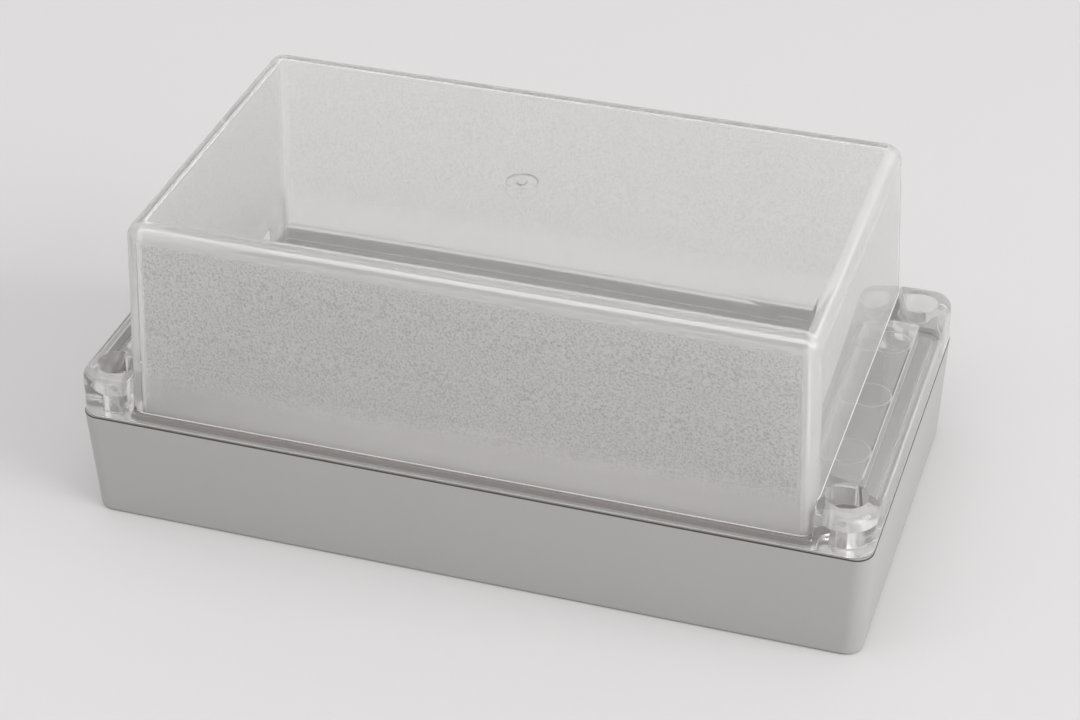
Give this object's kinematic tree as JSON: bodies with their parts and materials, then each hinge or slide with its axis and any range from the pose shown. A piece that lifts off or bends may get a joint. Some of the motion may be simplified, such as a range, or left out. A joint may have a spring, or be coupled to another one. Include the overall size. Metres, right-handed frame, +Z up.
{
  "type": "screw-down polycarbonate enclosure",
  "caption": "Sealed rectangular enclosure: shallow grey base, deep clear lid with raised end blocks and counterbored corner screw holes, gasket between them.",
  "frame": {"origin": "centre of the underside of the base", "axes": "+X along the length, +Y across the width, +Z up through the clear lid"},
  "size_m": [0.162, 0.082, 0.0691],
  "materials": {
    "base": "light grey, fine moulded texture",
    "lid": "clear polycarbonate, polished outside, its upper walls finely pebbled inside",
    "gasket": "matt brown-grey sealing rubber"
  },
  "bodies": {
    "base": {"base": "base"},
    "lid": {"lid": "lid", "gasket": "gasket"}
  },
  "joints": [
    {"name": "lid_lift", "type": "slide", "parent": "base", "child": "lid", "axis": [0, 0, 1], "range_m": [0, 0.06]}
  ]
}
